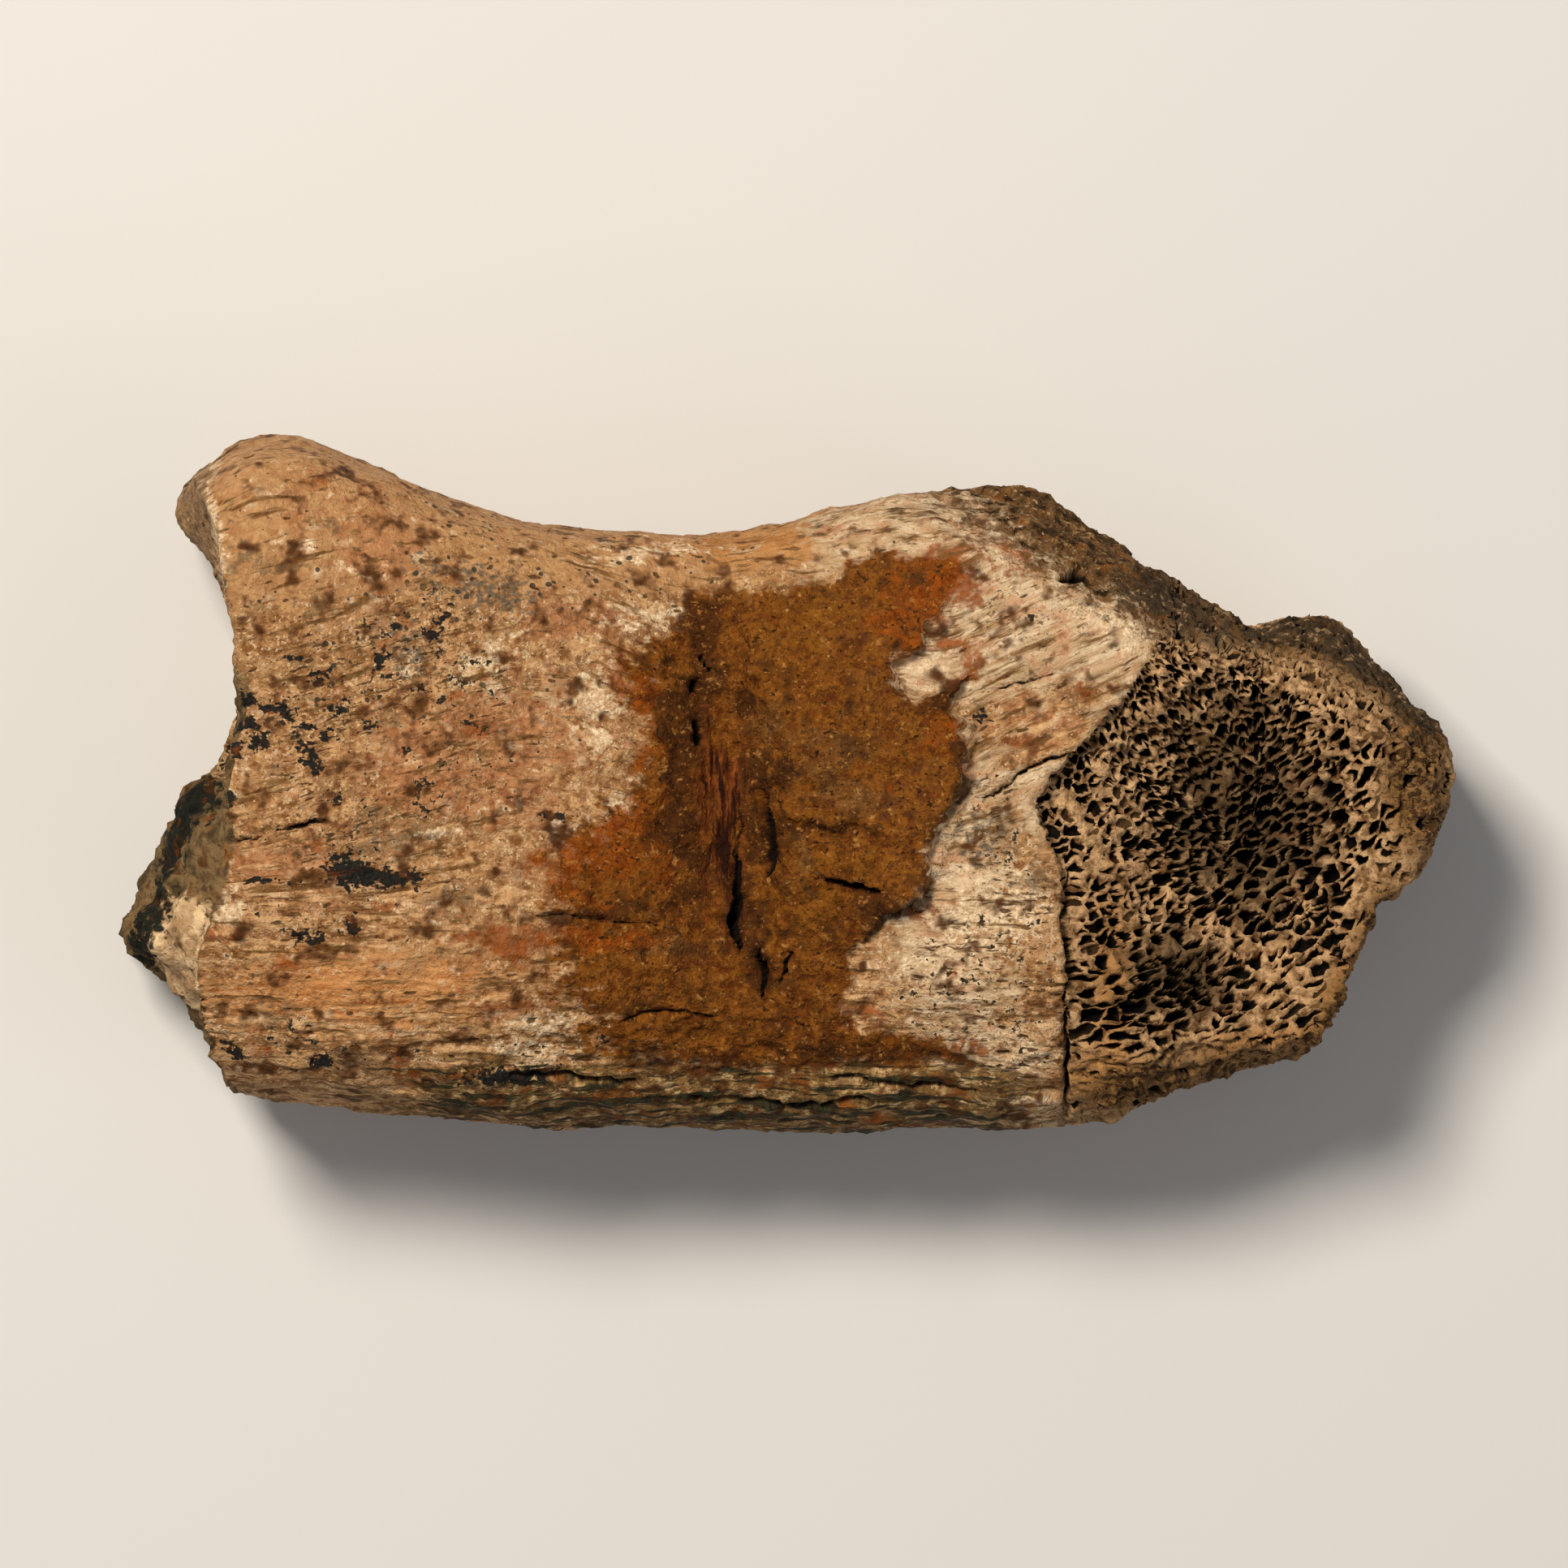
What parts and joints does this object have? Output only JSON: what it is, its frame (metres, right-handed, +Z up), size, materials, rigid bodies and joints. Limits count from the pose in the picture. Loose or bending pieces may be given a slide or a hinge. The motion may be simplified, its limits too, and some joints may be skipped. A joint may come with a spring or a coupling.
{
  "type": "fossil dinosaur rib",
  "caption": "Short broken piece of fossil rib bone with a saddle-shaped edge, a brown sediment crust and an open, spongy broken end. It lies on its back face.",
  "frame": {"origin": "on the resting plane, under the middle of the bone's bounding box", "axes": "+X along the bone, from the lobed end to the spongy broken end; +Y across it, towards the saddle edge; +Z up, out of the front face"},
  "size_m": [0.0994, 0.0518, 0.0296],
  "materials": {
    "bone": "matt mineralised bone, tan with iron-brown sediment and black manganese spots"
  },
  "bodies": {
    "root": {"rib_bone": "bone"}
  },
  "joints": []
}
